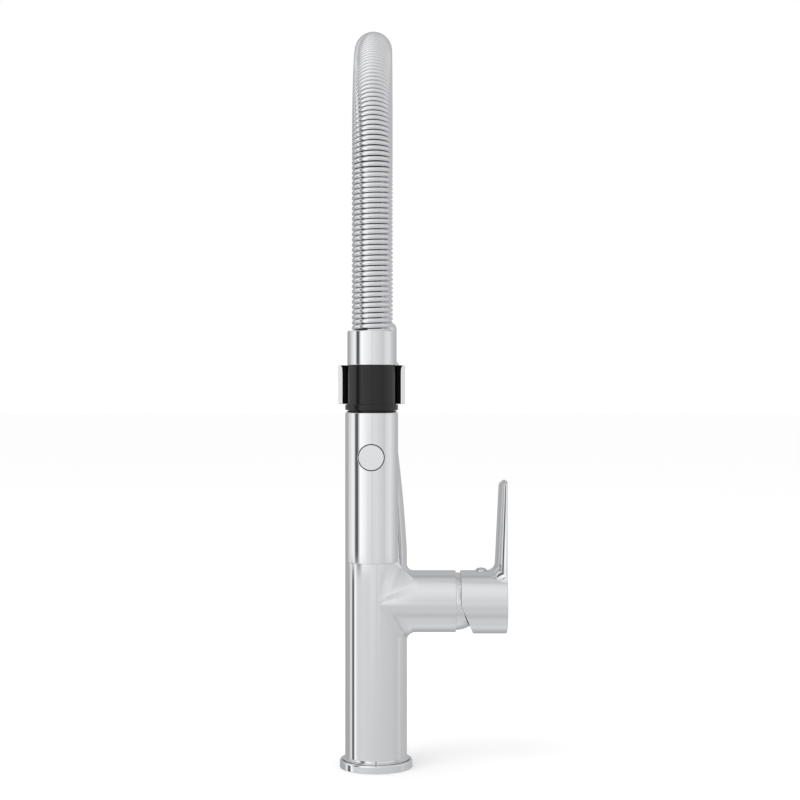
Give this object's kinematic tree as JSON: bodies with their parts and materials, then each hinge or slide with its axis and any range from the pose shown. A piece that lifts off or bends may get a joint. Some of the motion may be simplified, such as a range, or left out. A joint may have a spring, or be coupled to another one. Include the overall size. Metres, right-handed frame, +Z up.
{
  "type": "spring spout kitchen mixer",
  "caption": "Deck-mounted kitchen mixer with a spring arch, a spray wand docked in an open clip, and a side lever.",
  "frame": {"origin": "on the column's axis, in the plane of the deck that the flange stands on", "axes": "+Z up along the column, the wand hangs on the -Y side, the side lever points to +X"},
  "size_m": [0.1254, 0.2342, 0.5276],
  "materials": {
    "chrome_body": "polished chrome plate on brass",
    "chrome_wire": "polished chrome plate on spring steel",
    "soft_black": "satin black plastic",
    "rubber_black": "matt black rubber",
    "hose_grey": "dark smooth hose cover",
    "nozzle_rubber": "soft grey silicone",
    "face_grey": "dark grey plastic",
    "plug_grey": "glossy grey index plug",
    "plastic_ivory": "ivory acetal",
    "plastic_white": "white acetal",
    "plastic_grey": "grey acetal",
    "ceramic": "lapped alumina ceramic",
    "brass": "bare machined brass",
    "copper": "bare drawn copper",
    "steel": "plain stainless steel"
  },
  "bodies": {
    "column": {"column_body": "chrome_body", "base_flange": "chrome_body", "base_seal": "rubber_black", "mounting_base": "brass", "base_o_ring": "rubber_black", "supply_tube_hot": "copper", "supply_tube_cold": "copper", "thrust_washer": "plastic_ivory", "spout_retaining_screw": "steel", "cartridge_base": "plastic_white", "cartridge_seals": "rubber_black", "fixed_disc": "ceramic", "cartridge_housing": "plastic_white", "cartridge_nut": "brass", "trim_dome": "chrome_body"},
    "temperature_carrier": {"carrier": "plastic_grey", "carrier_o_ring": "rubber_black", "stem_pin": "steel"},
    "disc": {"moving_disc": "ceramic", "disc_coupler": "plastic_grey"},
    "handle": {"lever_stem": "steel", "lever_handle": "chrome_body", "handle_set_screw": "steel", "index_plug": "plug_grey"},
    "spout": {"spout_collar": "chrome_body", "spigot_o_rings": "rubber_black", "swivel_bush_lower": "plastic_ivory", "swivel_bush_upper": "plastic_ivory", "holder_arm": "chrome_body", "arm_set_screw": "steel", "clip_band": "chrome_body", "clip_liner": "soft_black", "clip_screw": "steel", "hose_tail_rear": "brass", "hose_sleeve_rear": "steel", "inner_hose": "hose_grey", "arch_spring": "chrome_wire"},
    "hose_end": {"wand_collar": "chrome_body", "hose_tail_front": "brass", "hose_sleeve_front": "steel", "tail_o_rings": "rubber_black", "tail_circlip": "steel"},
    "wand": {"wand_sleeve": "soft_black", "wand_barrel": "chrome_body", "check_valve": "plastic_white", "diverter_body": "plastic_grey", "diverter_o_rings": "rubber_black", "jet_tube": "plastic_ivory", "spray_face": "face_grey", "nozzle_ring": "nozzle_rubber", "aerator": "steel", "button_spring": "steel"},
    "spray_button_body": {"button_cap": "chrome_body", "diverter_spool": "plastic_ivory"}
  },
  "joints": [
    {"name": "spout_swivel", "type": "hinge", "parent": "column", "child": "spout", "pos_m": [0, 0, 0.27235], "axis": [0, 0, 1], "continuous": true},
    {"name": "wand_swing", "type": "hinge", "parent": "spout", "child": "hose_end", "pos_m": [0, -0.19, 0.47], "axis": [-1, 0, 0], "range_deg": [0, 30], "stiffness_Nm_per_rad": 1.5, "springref_deg": -2.86, "deforming": ["arch_spring", "inner_hose"]},
    {"name": "wand_swivel", "type": "hinge", "parent": "hose_end", "child": "wand", "pos_m": [0, -0.19, 0.29765], "axis": [0, 0, 1], "continuous": true},
    {"name": "spray_press", "type": "slide", "parent": "wand", "child": "spray_button_body", "axis": [0, 1, 0], "range_m": [0, 0.002], "stiffness_N_per_m": 600, "springref_m": -0.004, "deforming": ["button_spring"]},
    {"name": "temperature_turn", "type": "hinge", "parent": "column", "child": "temperature_carrier", "pos_m": [0.0595, 0, 0.1242], "axis": [1, 0, 0], "range_deg": [-50, 50]},
    {"name": "flow_tilt", "type": "hinge", "parent": "temperature_carrier", "child": "handle", "pos_m": [0.0595, 0, 0.1242], "axis": [0, 1, 0], "range_deg": [0, 22]},
    {"name": "disc_travel", "type": "slide", "parent": "temperature_carrier", "child": "disc", "axis": [0, 0, 1], "range_m": [0, 0.0066]}
  ],
  "couplings": [
    {"joint": "disc_travel", "follows": "flow_tilt", "m_per_rad": 0.017}
  ]
}
